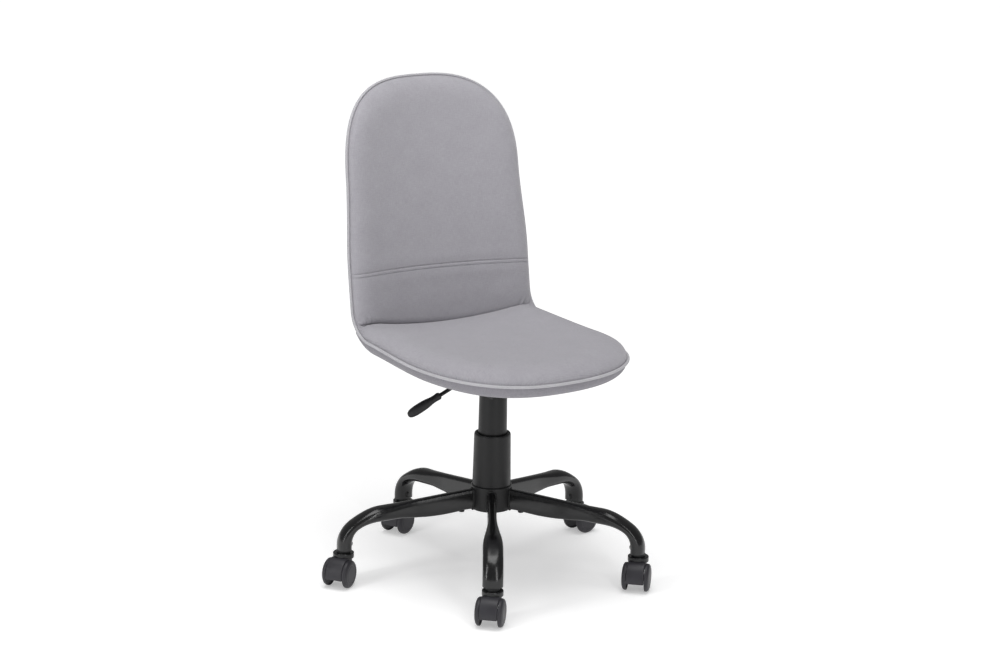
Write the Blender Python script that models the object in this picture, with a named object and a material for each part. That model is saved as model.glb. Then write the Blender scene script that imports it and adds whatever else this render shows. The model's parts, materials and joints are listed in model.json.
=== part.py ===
"""Armless swivel desk chair on a five-armed castor base.

Metres, +Z up, floor at z = 0.  The chair faces -Y and its lift lever points to -X.
Everything is built about the column axis, which the empty `column_axis` carries.
"""
import math

import bmesh
import bpy
import numpy as np
from mathutils import Vector

# ---------------------------------------------------------------- driving dimensions
COLUMN_X, COLUMN_Y = 0.0046, -0.0132   # column axis, so that the box is centred on the origin
FIT = 0.0003                           # gap between touching pieces

# bent shell: a flat seat, a bend and a straight reclined back, measured along its centre line
SEAT_FRONT_Y, SEAT_FRONT_Z = -0.230, 0.404
SEAT_RUN, BEND_RADIUS, BACK_RUN = 0.345, 0.078, 0.409
SEAT_FALL, RECLINE = math.radians(0.5), math.radians(10.4)
SEAT_HALF, WAIST_LOSS, TOP_LOSS = 0.200, 0.007, 0.009
SEAT_CUP, BEND_CUP, TOP_CUP = 0.012, 0.014, 0.017
NOSE_RUN, NOSE_POWER = 0.190, 2.7
CROWN_RUN, CROWN_POWER = 0.193, 2.75
CREASE_AT, CREASE_GAP = 0.410, 0.0006  # arc length of the crease between seat and back, half its gap
BOARD_HALF = 0.005
PIPING_RADIUS, RIM_INSET = 0.0026, 0.0042   # cord radius; how far boards and pads stay inside the cord
SEAT_PAD, SEAT_PAD_EDGE = 0.024, 0.060
BACK_PAD, BACK_PAD_EDGE = 0.018, 0.050
PAN_DEPTH, PAN_EDGE, PAN_ROLL = 0.0170, 0.026, 0.0022
REAR_DEPTH, REAR_EDGE = 0.0085, 0.045
PAD_LIP, COVER_LIP = 0.0020, 0.0012     # thickness of pads and covers at their sewn rims

# lift mechanism under the seat
PLATE_SIZE, PLATE_BOTTOM, PLATE_THICK = (0.150, 0.190), 0.3755, 0.0030
BOLT_X, BOLT_Y, BOLT_RADIUS = 0.0625, 0.080, 0.0030
BOLT_TOP, HEAD_RADIUS, HEAD_TALL = 0.4050, 0.0062, 0.0040
HOUSING_HALF, HOUSING_LONG, HOUSING_BOTTOM, HOUSING_WALL = 0.040, 0.110, 0.3380, 0.0025
SOCKET_BOTTOM, SOCKET_TOP, SOCKET_RADIUS = 0.3180, 0.3620, 0.0178
LEVER_Z, LEVER_RADIUS = 0.3688, 0.0035
LEVER_PIVOT_X, LEVER_BEND_X = -0.0388, -0.0530
LEVER_DROP = math.radians(22.4)
GRIP_START_X, GRIP_LONG = -0.1145, 0.0715
BUTTON_RADIUS, BUTTON_GAP = 0.0040, 0.0005

# gas spring column
CYLINDER_RADIUS, CYLINDER_WALL = 0.0139, 0.0022
CYLINDER_BOTTOM, CYLINDER_TOP = 0.1920, 0.3605
ROD_RADIUS, ROD_BOTTOM, PISTON_Z = 0.0050, 0.1148, 0.2240
TUBE_RADIUS, TUBE_WALL, TUBE_BOTTOM, TUBE_TOP = 0.0225, 0.0018, 0.1178, 0.2560
BUMPER_TALL, BEARING_TALL = 0.0052, 0.0055
UPPER_COVER = (0.0262, 0.02485, 0.2290, 0.3377)    # radius at mouth, at top, z of mouth, z of top
LOWER_COVER = (0.0345, 0.0329, 0.1639, 0.2595)     # radius at foot, at rim, z of foot, z of rim
COVER_WALL = 0.0012

# base
HUB_RADIUS, HUB_BOTTOM, HUB_TOP = 0.0366, 0.1186, 0.1636
ARM_COUNT = 5
BASE_TURN = math.radians(-33.8)        # the first arm, from -Y towards +X
ARM_ROOT_R, ARM_ROOT_Z = 0.0370, 0.1380
ARM_FALL, ARM_KNEE, ARM_END_TURN = math.radians(4.5), math.radians(33.0), math.radians(90.0)
ARM_SWEEP_RADIUS, ARM_ELBOW_RADIUS = 0.105, 0.0437
ARM_END_R, ARM_END_Z = 0.2742, 0.0647
ARM_ROOT_HALF, ARM_END_HALF = (0.0085, 0.0190), (0.0180, 0.0128)   # half width, half height
ARM_MID_TALL, ARM_KNEE_TALL = 0.0137, 0.0099    # half heights before the sweep and at the knee
ARM_MID_R = 0.180
ARM_BELLY, ARM_BELLY_R, ARM_BELLY_RUN = 0.0022, 0.050, 0.120    # how far the underside hangs lower
ARM_FLARE_R, ARM_FLARE_RUN = 0.135, 0.100   # where the arm starts to widen, and over what length
ARM_WALL = 0.0016

# castors
STEM_CIRCLE, STEM_RADIUS, STEM_FOOT, STEM_TOP = 0.2755, 0.0055, 0.0340, 0.0724
SOCKET_PLUG_RADIUS, SOCKET_FLANGE_RADIUS = 0.0085, 0.0125
SOCKET_BORE_TOP, SOCKET_PLUG_TOP = 0.0732, 0.0755
TRAIL = 0.0165
WHEEL_RADIUS, WHEEL_INNER, WHEEL_OUTER = 0.0250, 0.0163, 0.0246
HOOD_HALF, HOOD_RADIUS, HOOD_WALL = 0.0159, 0.0246, 0.0030
HOOD_START, HOOD_END = -16, 138        # degrees round the axle, from the trailing side over the top
WEB_HALF = 0.0050
COLLAR_RADIUS, COLLAR_BOTTOM, COLLAR_TOP = 0.0188, 0.0494, 0.0594
NECK_RADIUS, NECK_BOTTOM, BOSS_RADIUS, BOSS_BOTTOM = 0.0155, 0.0430, 0.0092, 0.0300
AXLE_RADIUS = 0.0040
CASTOR_HEADINGS = (-46.0, -46.0, 95.0, -69.0, -57.5)  # degrees from -Y towards +X, arm by arm

FABRIC, RUBBER = (0.34, 0.34, 0.36), (0.03, 0.03, 0.03)
BLACK_PLASTIC, BLACK_PAINT, GREY_PLASTIC = (0.020, 0.020, 0.021), (0.015, 0.015, 0.016), (0.07, 0.07, 0.08)
WOOD, BRIGHT = (0.55, 0.40, 0.24), (0.75, 0.75, 0.76)

for leftover in list(bpy.data.objects):
    bpy.data.objects.remove(leftover, do_unlink=True)


# ---------------------------------------------------------------- building blocks
def material(name, colour, roughness, metallic=0.0):
    """A Principled material, made once for each name."""
    found = bpy.data.materials.get(name)
    if found:
        return found
    made = bpy.data.materials.new(name)
    made.use_nodes = True
    shader = made.node_tree.nodes["Principled BSDF"]
    shader.inputs["Base Color"].default_value = (*colour, 1.0)
    shader.inputs["Roughness"].default_value = roughness
    shader.inputs["Metallic"].default_value = metallic
    return made


def empty(name, place, turn=0.0, parent=None):
    """An axis: its Z is the axis that its children turn about or slide along."""
    axis = bpy.data.objects.new(name, None)
    bpy.context.scene.collection.objects.link(axis)
    axis.location = place
    axis.rotation_euler = (0.0, 0.0, turn)
    axis.parent = parent
    return axis


def add_object(name, mesh, finish, parent, place=(0, 0, 0), smooth=True):
    """Link a mesh as a named object under its parent axis."""
    piece = bpy.data.objects.new(name, mesh)
    bpy.context.scene.collection.objects.link(piece)
    mesh.materials.append(finish)
    if smooth:
        mesh.shade_smooth()
        mesh.set_sharp_from_angle(angle=math.radians(35))
    piece.location = place
    piece.parent = parent
    return piece


def to_mesh(name, bm):
    """Close a bmesh into a mesh whose faces point out."""
    bmesh.ops.remove_doubles(bm, verts=bm.verts, dist=1e-6)
    bmesh.ops.recalc_face_normals(bm, faces=bm.faces)
    mesh = bpy.data.meshes.new(name)
    bm.to_mesh(mesh)
    bm.free()
    return mesh


def spin_profile(bm, profile, steps, centre=(0, 0, 0), along="Z"):
    """Turn a profile of (radius, height) points about an axis; a profile off the axis is a closed ring."""
    axis = {"X": Vector((1, 0, 0)), "Y": Vector((0, 1, 0)), "Z": Vector((0, 0, 1))}[along]
    side = Vector((0, 0, -1)) if along == "Y" else Vector((1, 0, 0))
    middle = Vector(centre)
    points = [bm.verts.new(middle + side * radius + axis * height) for radius, height in profile]
    on_axis = profile[0][0] == 0 and profile[-1][0] == 0
    last = len(points) - 1 if on_axis else len(points)
    edges = [bm.edges.new((points[i], points[(i + 1) % len(points)])) for i in range(last)]
    bmesh.ops.spin(bm, geom=points + edges, cent=middle, axis=axis, angle=2 * math.pi,
                   steps=steps, use_merge=True)
    return bm


def lathe(name, profile, steps, finish, parent, place=(0, 0, 0), along="Z"):
    """One turned piece."""
    bm = spin_profile(bmesh.new(), profile, steps, along=along)
    return add_object(name, to_mesh(name, bm), finish, parent, place)


def prism(bm, section, low, high):
    """A closed prism of an (x, z) section between two y values."""
    front = [bm.verts.new((x, low, z)) for x, z in section]
    back = [bm.verts.new((x, high, z)) for x, z in section]
    bm.faces.new(front)
    bm.faces.new(back[::-1])
    for i in range(len(section)):
        j = (i + 1) % len(section)
        bm.faces.new((front[i], back[i], back[j], front[j]))
    return bm


def ring_skin(bm, rings, wrap=False):
    """Faces between neighbouring rings of equal length; wrap joins the last ring to the first."""
    rows = [[bm.verts.new(point) for point in ring] for ring in rings]
    last = len(rows) if wrap else len(rows) - 1
    for i in range(last):
        one, two = rows[i], rows[(i + 1) % len(rows)]
        for j in range(len(one)):
            k = (j + 1) % len(one)
            bm.faces.new((one[j], one[k], two[k], two[j]))
    return rows


def cut(piece, cutter_mesh, parent, operation="DIFFERENCE"):
    """Cut a piece with, or join it to, a hidden helper."""
    helper = bpy.data.objects.new(piece.name + "_" + operation.lower(), cutter_mesh)
    bpy.context.scene.collection.objects.link(helper)
    helper.parent = parent
    helper.hide_render = True
    helper.display_type = "WIRE"
    modifier = piece.modifiers.new(operation.lower(), "BOOLEAN")
    modifier.operation = operation
    modifier.solver = "EXACT"
    modifier.object = helper


# ---------------------------------------------------------------- bent shell
BEND_TURN = math.pi / 2 - RECLINE + SEAT_FALL
SHELL_RUN = SEAT_RUN + BEND_RADIUS * BEND_TURN + BACK_RUN
NOSE_TIP, CROWN_TIP = RIM_INSET + 0.003, SHELL_RUN - RIM_INSET - 0.0015   # first and last row


def ease(x):
    """Smooth step from 0 to 1."""
    x = np.clip(x, 0.0, 1.0)
    return x * x * (3 - 2 * x)


def half_width(s):
    """Half width of the shell before its ends are rounded."""
    return SEAT_HALF - WAIST_LOSS * ease((s - 0.17) / 0.23) - TOP_LOSS * ease((s - 0.53) / 0.16)


def outline(s, inset):
    """Half width at arc length s, with the nose and the crown rounded, drawn in by inset."""
    nose = np.clip((s - inset) / (NOSE_RUN - inset), 0, 1)
    crown = np.clip((SHELL_RUN - inset - s) / (CROWN_RUN - inset), 0, 1)
    round_nose = (1 - (1 - nose) ** NOSE_POWER) ** (1 / NOSE_POWER)
    round_crown = (1 - (1 - crown) ** CROWN_POWER) ** (1 / CROWN_POWER)
    return (half_width(s) - inset) * round_nose * round_crown


def shell_point(s, u, n):
    """A point on the shell: s along it, u across it, n out of it towards the sitter."""
    turn = np.clip((s - SEAT_RUN) / BEND_RADIUS, 0, BEND_TURN) - SEAT_FALL
    flat = np.minimum(s, SEAT_RUN)
    up = np.maximum(s - SEAT_RUN - BEND_RADIUS * BEND_TURN, 0)
    back = BEND_TURN - SEAT_FALL
    y = SEAT_FRONT_Y + flat * math.cos(SEAT_FALL) + up * math.cos(back)
    y = y + BEND_RADIUS * (np.sin(turn) + math.sin(SEAT_FALL))
    z = SEAT_FRONT_Z - flat * math.sin(SEAT_FALL) + up * math.sin(back)
    z = z + BEND_RADIUS * (math.cos(SEAT_FALL) - np.cos(turn))
    cup = SEAT_CUP + BEND_CUP * ease((s - 0.17) / 0.24) + TOP_CUP * ease((s - 0.40) / 0.40)
    lift = n + cup * (u / SEAT_HALF) ** 2
    return np.stack([u + 0 * s, y - np.sin(turn) * lift, z + np.cos(turn) * lift], axis=-1)


def edge_distance(s, u, inset):
    """Distance on the flattened shell from (s, u) to the outline drawn in by inset."""
    run = np.linspace(inset, SHELL_RUN - inset, 600)
    half = outline(run, inset)
    gap = np.hypot(s[..., None] - run, np.abs(u)[..., None] - half)
    return gap.min(axis=-1)


def swell(distance, edge):
    """0 at the rim, rising steeply and levelling out to 1 at `edge` from it."""
    x = np.clip(distance / edge, 0, 1)
    return (1 - (1 - x) ** 2.2) ** (1 / 2.2)


def rounded_rows(start, finish, count):
    """Arc lengths from a rounded tip at start, close together there, to finish."""
    return start + (finish - start) * np.linspace(0, 1, count) ** 1.8


def shell_rows():
    """Arc lengths of the rows of the seat and of the back; board and pads share them, so they nest."""
    bend_end = SEAT_RUN + BEND_RADIUS * BEND_TURN
    crown_start = SHELL_RUN - CROWN_RUN
    seat_parts = [rounded_rows(NOSE_TIP, NOSE_RUN, 5), np.linspace(NOSE_RUN, SEAT_RUN, 4)[1:],
                  np.linspace(SEAT_RUN, CREASE_AT - CREASE_GAP, 4)[1:]]
    back_parts = [np.linspace(CREASE_AT + CREASE_GAP, bend_end, 3),
                  np.linspace(bend_end, crown_start, 4)[1:],
                  rounded_rows(CROWN_TIP, crown_start, 6)[-2::-1]]
    return np.concatenate(seat_parts), np.concatenate(back_parts)


def split_grid(bm, points):
    """Triangles over a grid of points, every square split along the same diagonal."""
    grid = [[bm.verts.new(point) for point in row] for row in points]
    for one, two in zip(grid, grid[1:]):
        for j in range(len(one) - 1):
            bm.faces.new((one[j], one[j + 1], two[j + 1]))
            bm.faces.new((one[j], two[j + 1], two[j]))
    return grid


def slab(name, s, inset, top, bottom, finish, parent, columns=9):
    """A closed pad over the rows s, between two height functions of (distance to rim, s)."""
    across = np.sin(np.linspace(-math.pi / 2, math.pi / 2, columns))
    rows = s[:, None] + 0 * across
    u = outline(s, inset)[:, None] * across
    rim = edge_distance(rows, u, inset)
    rim[:, 0] = rim[:, -1] = 0.0
    rim[(s <= NOSE_TIP) | (s >= CROWN_TIP)] = 0.0
    upper = shell_point(rows, u, top(rim, rows))
    lower = shell_point(rows, u, bottom(rim, rows))
    bm = bmesh.new()
    top_rim, low_rim = [
        grid[0] + [row[-1] for row in grid[1:-1]] + grid[-1][::-1] + [row[0] for row in grid[-2:0:-1]]
        for grid in (split_grid(bm, upper), split_grid(bm, lower))]
    for j in range(len(top_rim)):
        k = (j + 1) % len(top_rim)
        bm.faces.new((top_rim[j], top_rim[k], low_rim[k], low_rim[j]))
    return add_object(name, to_mesh(name, bm), finish, parent)


def bolt_places():
    """The four bolt positions under the seat."""
    return [(x, y) for x in (-BOLT_X, BOLT_X) for y in (-BOLT_Y, BOLT_Y)]


def bolt_holes():
    """Cutter: a clear hole for each bolt, through plate, cover and board."""
    clear = BOLT_RADIUS + 0.0005
    high, low = SEAT_FRONT_Z + 0.016, PLATE_BOTTOM - 0.015
    bm = bmesh.new()
    for x, y in bolt_places():
        spin_profile(bm, [(0, high), (clear, high), (clear, low), (0, low)], 12, centre=(x, y, 0))
    return to_mesh("bolt_holes", bm)


def build_shell(parent):
    """Board, cushions, covers and piping."""
    fabric = material("fabric", FABRIC, 0.9)

    seat_rows, back_rows = shell_rows()
    above, below = BOARD_HALF + FIT, -BOARD_HALF - FIT

    def pad_top(rim, run, depth, edge):
        reach = np.minimum(rim, 0.012 + 1.6 * run)
        return above + PAD_LIP + depth * swell(reach, edge)

    def cover_bottom(rim, run, depth, edge):
        reach = np.minimum(rim, 0.004 + 1.2 * run)
        return below - COVER_LIP - depth * swell(reach, edge)

    def seat_top(rim, s):
        return pad_top(rim, CREASE_AT - s, SEAT_PAD, SEAT_PAD_EDGE)

    def back_top(rim, s):
        return pad_top(rim, s - CREASE_AT, BACK_PAD, BACK_PAD_EDGE)

    def pan_bottom(rim, s):
        roll = PAN_ROLL * np.sin(math.pi * np.clip(rim / 0.060, 0, 1)) * (1 - ease((s - 0.02) / 0.10))
        return cover_bottom(rim, seat_rows[-1] - s, PAN_DEPTH - COVER_LIP, PAN_EDGE) - roll

    def rear_bottom(rim, s):
        return cover_bottom(rim, s - back_rows[0], REAR_DEPTH, REAR_EDGE)

    slab("seat_cushion", seat_rows, RIM_INSET, seat_top, lambda rim, s: above + 0 * s, fabric, parent)
    slab("back_cushion", back_rows, RIM_INSET, back_top, lambda rim, s: above + 0 * s, fabric, parent)
    pan = slab("seat_under_cover", seat_rows, RIM_INSET, lambda rim, s: below + 0 * s, pan_bottom,
               fabric, parent)
    slab("back_rear_cover", back_rows, RIM_INSET, lambda rim, s: below + 0 * s, rear_bottom,
         fabric, parent)
    board = slab("shell_board", np.concatenate([seat_rows, back_rows]), RIM_INSET,
                 lambda rim, s: BOARD_HALF + 0 * s, lambda rim, s: -BOARD_HALF + 0 * s,
                 material("plywood", WOOD, 0.6), parent)
    holes = bolt_holes()
    cut(board, holes, parent)
    cut(pan, holes, parent)
    build_piping(parent)


def build_piping(parent):
    """Fabric-covered cord round the whole rim of the shell."""
    half_count = 30
    phase = np.linspace(0, math.pi, half_count)
    s = SHELL_RUN * (0.5 - 0.5 * np.cos(phase))
    w = outline(s, 0.0)
    right = shell_point(s, w, 0 * s)
    left = shell_point(s[1:-1], -w[1:-1], 0 * s[1:-1])[::-1]
    points = np.concatenate([right, left])
    curve = bpy.data.curves.new("edge_piping", "CURVE")
    curve.dimensions = "3D"
    curve.bevel_depth = PIPING_RADIUS - FIT
    curve.bevel_resolution = 1
    spline = curve.splines.new("POLY")
    spline.points.add(len(points) - 1)
    spline.points.foreach_set("co", np.column_stack([points, np.ones(len(points))]).ravel())
    spline.use_cyclic_u = True
    curve.materials.append(material("piping_fabric", FABRIC, 0.9))
    piping = bpy.data.objects.new("edge_piping", curve)
    bpy.context.scene.collection.objects.link(piping)
    piping.parent = parent


# ---------------------------------------------------------------- lift mechanism
def build_mechanism(parent):
    """Seat plate, its bolts, and the channel housing with the taper socket welded through it."""
    pressed = material("black_steel", BLACK_PAINT, 0.45, 0.3)
    half_x, half_y = PLATE_SIZE[0] / 2, PLATE_SIZE[1] / 2
    bm = bmesh.new()
    corner = 0.014
    plan = [(half_x, half_y - corner), (half_x - corner, half_y), (corner - half_x, half_y),
            (-half_x, half_y - corner), (-half_x, corner - half_y), (corner - half_x, -half_y),
            (half_x - corner, -half_y), (half_x, corner - half_y)]
    floor = bm.faces.new([bm.verts.new((x, y, PLATE_BOTTOM)) for x, y in plan])
    raised = bmesh.ops.extrude_face_region(bm, geom=[floor])["geom"]
    bmesh.ops.translate(bm, verts=[v for v in raised if isinstance(v, bmesh.types.BMVert)],
                        vec=(0, 0, PLATE_THICK))
    plate = add_object("seat_plate", to_mesh("seat_plate", bm), pressed, parent, smooth=False)
    cut(plate, bolt_holes(), parent)

    head_top = PLATE_BOTTOM - FIT
    bolt = [(0, BOLT_TOP), (BOLT_RADIUS, BOLT_TOP), (BOLT_RADIUS, head_top), (HEAD_RADIUS, head_top),
            (HEAD_RADIUS, head_top - HEAD_TALL), (0, head_top - HEAD_TALL)]
    for number, (x, y) in enumerate(bolt_places()):
        lathe(f"mechanism_bolt_{number + 1}", bolt, 12, material("zinc_steel", BRIGHT, 0.35, 1.0), parent,
              place=(x, y, 0))

    wall, top = HOUSING_WALL, PLATE_BOTTOM - FIT
    inner = HOUSING_HALF - wall
    web = HOUSING_BOTTOM + wall
    channel = [(-HOUSING_HALF, HOUSING_BOTTOM), (HOUSING_HALF, HOUSING_BOTTOM), (HOUSING_HALF, top),
               (inner, top), (inner, web), (-inner, web), (-inner, top), (-HOUSING_HALF, top)]
    body = prism(bmesh.new(), channel, -HOUSING_LONG / 2, HOUSING_LONG / 2)
    housing = add_object("lever_housing", to_mesh("lever_housing", body), pressed, parent, smooth=False)
    bore = CYLINDER_RADIUS + FIT
    beyond, play = 0.010, 0.002
    high, low = SOCKET_TOP + beyond, SOCKET_BOTTOM - beyond
    opening = spin_profile(bmesh.new(), [(0, high), (bore, high), (bore, low), (0, low)], 24)
    slot_low, slot_half = LEVER_Z - LEVER_RADIUS - play, LEVER_RADIUS + play
    slot_out, slot_in = -HOUSING_HALF - beyond, -inner + beyond
    prism(opening, [(slot_out, slot_low), (slot_in, slot_low), (slot_in, top + beyond),
                    (slot_out, top + beyond)], -slot_half, slot_half)
    socket = [(0, SOCKET_TOP), (SOCKET_RADIUS, SOCKET_TOP), (SOCKET_RADIUS, SOCKET_BOTTOM),
              (0, SOCKET_BOTTOM)]
    cut(housing, to_mesh("taper_socket", spin_profile(bmesh.new(), socket, 24)), parent, "UNION")
    cut(housing, to_mesh("housing_openings", opening), parent)


def build_lever(parent):
    """Bent wire lever and its moulded grip; both turn about the slot in the housing."""
    pivot = Vector((LEVER_PIVOT_X, 0, LEVER_Z))
    axis = empty("lever_axis", pivot, parent=parent)
    along = Vector((-math.cos(LEVER_DROP), 0, -math.sin(LEVER_DROP)))
    bend = Vector((LEVER_BEND_X, 0, LEVER_Z))
    grip_start = bend + along * ((LEVER_BEND_X - GRIP_START_X) / math.cos(LEVER_DROP))
    rod_end = grip_start + along * 0.022
    curve = bpy.data.curves.new("lever_rod", "CURVE")
    curve.dimensions = "3D"
    curve.bevel_depth = LEVER_RADIUS
    curve.bevel_resolution = 2
    curve.use_fill_caps = True
    soft = bend + along * 0.006
    points = [Vector((0.0045, 0, LEVER_Z)), bend + Vector((0.006, 0, 0)), bend.lerp(soft, 0.3), soft,
              grip_start, rod_end]
    spline = curve.splines.new("POLY")
    spline.points.add(len(points) - 1)
    for target, point in zip(spline.points, points):
        target.co = (*(point - pivot), 1.0)
    curve.materials.append(material("black_steel", BLACK_PAINT, 0.45, 0.3))
    rod = bpy.data.objects.new("lever_rod", curve)
    bpy.context.scene.collection.objects.link(rod)
    rod.parent = axis

    # grip: an oval paddle, tallest near its end, on a waist and a round shoulder
    across = Vector((0, 1, 0))
    normal = across.cross(along)
    lengths = GRIP_LONG * np.array([0.0, 0.14, 0.25, 0.43, 0.65, 0.87, 1.0])
    wide = np.array([0.0053, 0.0053, 0.0054, 0.0060, 0.0063, 0.0058, 0.0026])
    tall = np.array([0.0057, 0.0056, 0.0058, 0.0074, 0.0080, 0.0071, 0.0030])
    bore = LEVER_RADIUS + FIT
    rings = [section_ring(rod_end + along * 0.0006, across, normal, bore, bore, 8),
             section_ring(grip_start, across, normal, bore, bore, 8)]
    rings += [section_ring(grip_start + along * t, across, normal, w, h, 8)
              for t, w, h in zip(lengths, wide, tall)]
    bm = bmesh.new()
    rows = ring_skin(bm, [[point - pivot for point in ring] for ring in rings])
    bm.faces.new(rows[0])
    bm.faces.new(rows[-1])
    add_object("lever_handle", to_mesh("lever_handle", bm),
               material("black_plastic", BLACK_PLASTIC, 0.5), axis)


def section_ring(centre, across, normal, half_wide, half_tall, count, power=2.0):
    """Points of an oval, or with a higher power a rounded oblong, about a centre."""
    ring = []
    for i in range(count):
        angle = 2 * math.pi * (i + 0.5) / count
        c, s = math.cos(angle), math.sin(angle)
        x = math.copysign(abs(c) ** (2 / power), c) * half_wide
        y = math.copysign(abs(s) ** (2 / power), s) * half_tall
        ring.append(centre + across * x + normal * y)
    return ring


# ---------------------------------------------------------------- gas spring column
def build_column(seat_axis, rod_axis, base_axis):
    """Cylinder and upper cover on the seat, rod on its bearing, tube and bush in the base."""
    steel = material("black_tube", BLACK_PAINT, 0.35, 0.5)
    bright = material("bright_steel", BRIGHT, 0.2, 1.0)
    plastic = material("black_plastic", BLACK_PLASTIC, 0.5)
    inner = CYLINDER_RADIUS - CYLINDER_WALL
    wall = CYLINDER_WALL
    rod_hole, button_hole = ROD_RADIUS + 0.0004, BUTTON_RADIUS + FIT
    lathe("gas_cylinder",
          [(button_hole, CYLINDER_TOP), (CYLINDER_RADIUS, CYLINDER_TOP), (CYLINDER_RADIUS, CYLINDER_BOTTOM),
           (rod_hole, CYLINDER_BOTTOM), (rod_hole, CYLINDER_BOTTOM + wall), (inner, CYLINDER_BOTTOM + wall),
           (inner, CYLINDER_TOP - 0.003), (button_hole, CYLINDER_TOP - 0.003)], 24, steel, seat_axis)
    button_top = LEVER_Z - LEVER_RADIUS - BUTTON_GAP
    lathe("release_button", [(0, button_top), (BUTTON_RADIUS, button_top),
                             (BUTTON_RADIUS, CYLINDER_TOP - 0.006), (0, CYLINDER_TOP - 0.006)],
          12, bright, seat_axis)

    mouth_r, top_r, mouth_z, top_z = UPPER_COVER
    hole = SOCKET_RADIUS + 2 * FIT
    lathe("upper_column_cover",
          [(hole, top_z), (top_r, top_z), (mouth_r, mouth_z), (mouth_r - COVER_WALL, mouth_z),
           (top_r - COVER_WALL, top_z - COVER_WALL), (hole, top_z - COVER_WALL)], 28, plastic, seat_axis)
    foot_r, rim_r, foot_z, rim_z = LOWER_COVER
    lip = mouth_r + 0.0008
    lathe("lower_column_cover",
          [(lip, rim_z), (rim_r, rim_z), (foot_r, foot_z), (foot_r - COVER_WALL, foot_z),
           (rim_r - COVER_WALL, rim_z - 0.002), (lip, rim_z - 0.002)], 28, plastic, base_axis)

    # the rod stands on a bearing in the tube's floor and is clipped below it
    floor_top = TUBE_BOTTOM + 0.0025
    piston = inner - FIT
    piston_top = PISTON_Z + 0.012
    lathe("piston_rod", [(0, piston_top), (piston, piston_top), (piston, PISTON_Z), (ROD_RADIUS, PISTON_Z),
                         (ROD_RADIUS, ROD_BOTTOM), (0, ROD_BOTTOM)], 16, bright, rod_axis)
    clear, clip_radius = ROD_RADIUS + FIT, 0.0095
    clip_top, clip_low = TUBE_BOTTOM - FIT, TUBE_BOTTOM - 0.0017
    lathe("rod_clip", [(clear, clip_top), (clip_radius, clip_top), (clip_radius, clip_low),
                       (clear, clip_low)], 16, bright, rod_axis)
    bearing_low = floor_top + FIT
    bearing_top, bearing_radius = bearing_low + BEARING_TALL, 0.0135
    lathe("thrust_bearing", [(clear, bearing_top), (bearing_radius, bearing_top),
                             (bearing_radius, bearing_low), (clear, bearing_low)], 20, bright, base_axis)
    bumper_low = bearing_top + FIT
    bumper_top = bumper_low + BUMPER_TALL
    lathe("rubber_bumper", [(clear, bumper_top), (0.0105, bumper_top), (0.0115, bumper_low),
                            (clear, bumper_low)], 16, material("rubber", RUBBER, 0.8), rod_axis)

    bore = TUBE_RADIUS - TUBE_WALL
    hub_fit = HUB_TOP + 0.002
    lathe("stand_tube",
          [(bore, TUBE_TOP), (TUBE_RADIUS, TUBE_TOP), (TUBE_RADIUS, hub_fit),
           (TUBE_RADIUS - 0.001, TUBE_BOTTOM), (clear, TUBE_BOTTOM), (clear, floor_top),
           (bore - 0.001, floor_top), (bore, hub_fit)],
          24, steel, base_axis)
    lathe("guide_bush", [(CYLINDER_RADIUS + FIT, TUBE_TOP - 0.001), (bore - FIT, TUBE_TOP - 0.001),
                         (bore - FIT, 0.1960), (CYLINDER_RADIUS + FIT, 0.1960)],
          24, material("white_acetal", (0.7, 0.7, 0.68), 0.4), base_axis)
    lathe("base_hub", [(TUBE_RADIUS + FIT, HUB_TOP), (HUB_RADIUS, HUB_TOP), (HUB_RADIUS, HUB_BOTTOM),
                       (TUBE_RADIUS + FIT - 0.0006, HUB_BOTTOM)], 30,
          material("black_steel", BLACK_PAINT, 0.45, 0.3), base_axis)


# ---------------------------------------------------------------- base arms
def arm_path():
    """Centre points (radius, z) and slopes of an arm: straight, a gentle sweep, an elbow, then down."""
    sweep_r = ARM_SWEEP_RADIUS * (math.sin(ARM_KNEE) - math.sin(ARM_FALL))
    elbow_r = ARM_ELBOW_RADIUS * (math.sin(ARM_END_TURN) - math.sin(ARM_KNEE))
    start_r = ARM_END_R - sweep_r - elbow_r
    start_z = ARM_ROOT_Z - (start_r - ARM_ROOT_R) * math.tan(ARM_FALL)
    path = [(ARM_ROOT_R, ARM_ROOT_Z, 0.0)]
    for share in (0.35, 0.60, 0.80):
        path.append((ARM_ROOT_R + share * (start_r - ARM_ROOT_R), ARM_ROOT_Z + share * (start_z - ARM_ROOT_Z),
                     ARM_FALL))
    r, z, angle = start_r, start_z, ARM_FALL
    path.append((r, z, angle))
    for radius, end, steps in ((ARM_SWEEP_RADIUS, ARM_KNEE, 2), (ARM_ELBOW_RADIUS, ARM_END_TURN, 4)):
        turn = (end - angle) / steps
        for _ in range(steps):
            r += radius * (math.sin(angle + turn) - math.sin(angle))
            z -= radius * (math.cos(angle) - math.cos(angle + turn))
            angle += turn
            path.append((r, z, angle))
    path.append((ARM_END_R, ARM_END_Z, ARM_END_TURN))
    return path


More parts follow.
